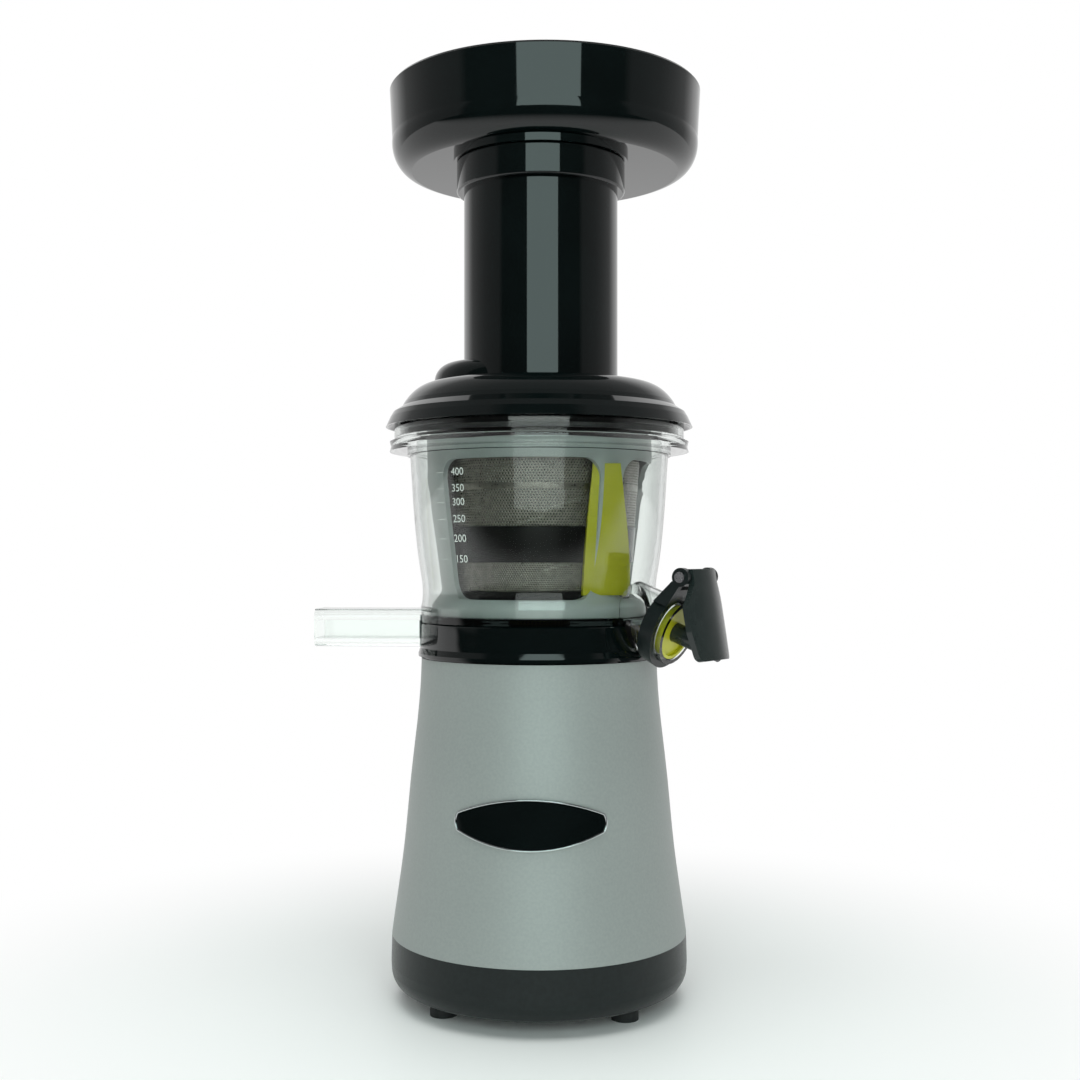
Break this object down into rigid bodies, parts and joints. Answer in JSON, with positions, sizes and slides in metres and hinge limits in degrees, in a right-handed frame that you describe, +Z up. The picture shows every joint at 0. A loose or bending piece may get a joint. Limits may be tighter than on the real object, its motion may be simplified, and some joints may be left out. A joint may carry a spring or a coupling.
{
  "type": "cold press juicer",
  "caption": "Tall vertical cold press juicer: tapered base with geared motor, clear bowl with brush, strainer and auger, hinged tap, lid, chute and tray.",
  "frame": {"origin": "on the floor under the middle of the whole outline", "axes": "+Z up; the badge faces -Y; the pulp spout points along -X and the tap to the front right"},
  "size_m": [0.173, 0.1722, 0.3953],
  "materials": {
    "rubber_foot": "moulded rubber",
    "matte_black": "fine moulded texture",
    "screw_steel": "zinc plated",
    "silver_paint": "satin silver paint",
    "gloss_black": "polished",
    "chrome_trim": "bright",
    "board_green": "solder mask",
    "dark_steel": "laminated",
    "copper": "enamelled wire",
    "cast_alloy": "die cast",
    "bearing_steel": "ground",
    "gear_plastic": "acetal",
    "bronze": "sintered",
    "seal_rubber": "moulded",
    "clear_plastic": "polished clear",
    "silicone_yellow": "silicone",
    "strainer_black": "satin",
    "screen_steel": "perforated sheet",
    "milky_plastic": "translucent satin",
    "auger_black": "satin",
    "flap_grey": "satin gloss"
  },
  "bodies": {
    "base": {"foot_1": "rubber_foot", "foot_2": "rubber_foot", "foot_3": "rubber_foot", "foot_4": "rubber_foot", "bottom_plate": "matte_black", "bottom_screws": "screw_steel", "base_skirt": "matte_black", "cord_gland": "matte_black", "base_shell": "silver_paint", "badge_plate": "gloss_black", "badge_rim": "chrome_trim", "dock_ring": "gloss_black", "deck_screws": "screw_steel", "switch_bezel": "matte_black", "circuit_board": "board_green", "capacitor": "matte_black", "motor_stator": "dark_steel", "motor_windings": "copper", "lower_bracket": "cast_alloy", "upper_bracket": "cast_alloy", "lower_bearing": "bearing_steel", "upper_bearing": "bearing_steel", "motor_bolts": "screw_steel", "gearbox_cover": "gear_plastic", "gearbox_housing": "gear_plastic", "gearbox_screws": "screw_steel", "countershaft_bushes": "bronze", "output_bearing": "bronze", "shaft_seal": "seal_rubber"},
    "rocker": {"switch_rocker": "gloss_black"},
    "rotor": {"rotor_core": "dark_steel", "rotor_shaft": "bearing_steel", "fan": "matte_black", "motor_pinion": "bearing_steel"},
    "layshaft": {"countershaft": "bearing_steel", "first_wheel": "gear_plastic", "second_pinion": "bearing_steel"},
    "drive": {"output_wheel": "gear_plastic", "drive_shaft": "bearing_steel"},
    "bowl": {"juicing_bowl": "clear_plastic", "bowl_seal": "silicone_yellow", "pulp_plug": "silicone_yellow", "idler_pin": "bearing_steel", "strainer_frame": "strainer_black", "upper_screen": "screen_steel", "lower_screen": "screen_steel", "tap_collar": "matte_black", "tap_pin": "bearing_steel"},
    "idler": {"idler_gear": "milky_plastic"},
    "brush": {"brush_frame": "milky_plastic", "wiper_1": "silicone_yellow", "wiper_2": "silicone_yellow"},
    "auger": {"auger": "auger_black"},
    "lid": {"lid": "gloss_black", "auger_bush": "gear_plastic", "lid_seal": "seal_rubber", "feed_chute": "gloss_black"},
    "tray": {"feed_tray": "gloss_black"},
    "tap": {"tap_flap": "flap_grey", "tap_plug": "silicone_yellow"}
  },
  "joints": [
    {"name": "shaft_spin", "type": "hinge", "parent": "base", "child": "drive", "pos_m": [0.00805, -0.02115, 0.13], "axis": [0, 0, 1], "continuous": true},
    {"name": "layshaft_spin", "type": "hinge", "parent": "base", "child": "layshaft", "pos_m": [0.00805, 0.00285, 0.12], "axis": [0, 0, 1], "continuous": true},
    {"name": "rotor_spin", "type": "hinge", "parent": "base", "child": "rotor", "pos_m": [0.00805, -0.02115, 0.06], "axis": [0, 0, 1], "continuous": true},
    {"name": "bowl_lift", "type": "slide", "parent": "base", "child": "bowl", "axis": [0, 0, 1], "range_m": [0, 0.04]},
    {"name": "auger_spin", "type": "hinge", "parent": "bowl", "child": "auger", "pos_m": [0.00805, -0.02115, 0.2], "axis": [0, 0, 1], "continuous": true},
    {"name": "idler_spin", "type": "hinge", "parent": "bowl", "child": "idler", "pos_m": [0.03305, -0.02115, 0.164], "axis": [0, 0, 1], "continuous": true},
    {"name": "brush_spin", "type": "hinge", "parent": "bowl", "child": "brush", "pos_m": [0.00805, -0.02115, 0.2], "axis": [0, 0, 1], "continuous": true},
    {"name": "lid_turn", "type": "hinge", "parent": "bowl", "child": "lid", "pos_m": [0.00805, -0.02115, 0.245], "axis": [0, 0, 1], "range_deg": [0, 20]},
    {"name": "tray_lift", "type": "slide", "parent": "lid", "child": "tray", "axis": [0, 0, 1], "range_m": [0, 0.025]},
    {"name": "tap_open", "type": "hinge", "parent": "bowl", "child": "tap", "pos_m": [0.07277, -0.06003, 0.1782], "axis": [-0.515, -0.8572, 0], "range_deg": [0, 100]},
    {"name": "switch_rock", "type": "hinge", "parent": "base", "child": "rocker", "pos_m": [0.00805, 0.03185, 0.08], "axis": [1, 0, 0], "range_deg": [-8, 8]}
  ],
  "couplings": [
    {"joint": "layshaft_spin", "follows": "shaft_spin", "ratio": -4},
    {"joint": "rotor_spin", "follows": "shaft_spin", "ratio": 16},
    {"joint": "auger_spin", "follows": "shaft_spin", "ratio": 1},
    {"joint": "idler_spin", "follows": "shaft_spin", "ratio": -0.66667},
    {"joint": "brush_spin", "follows": "shaft_spin", "ratio": -0.25}
  ]
}
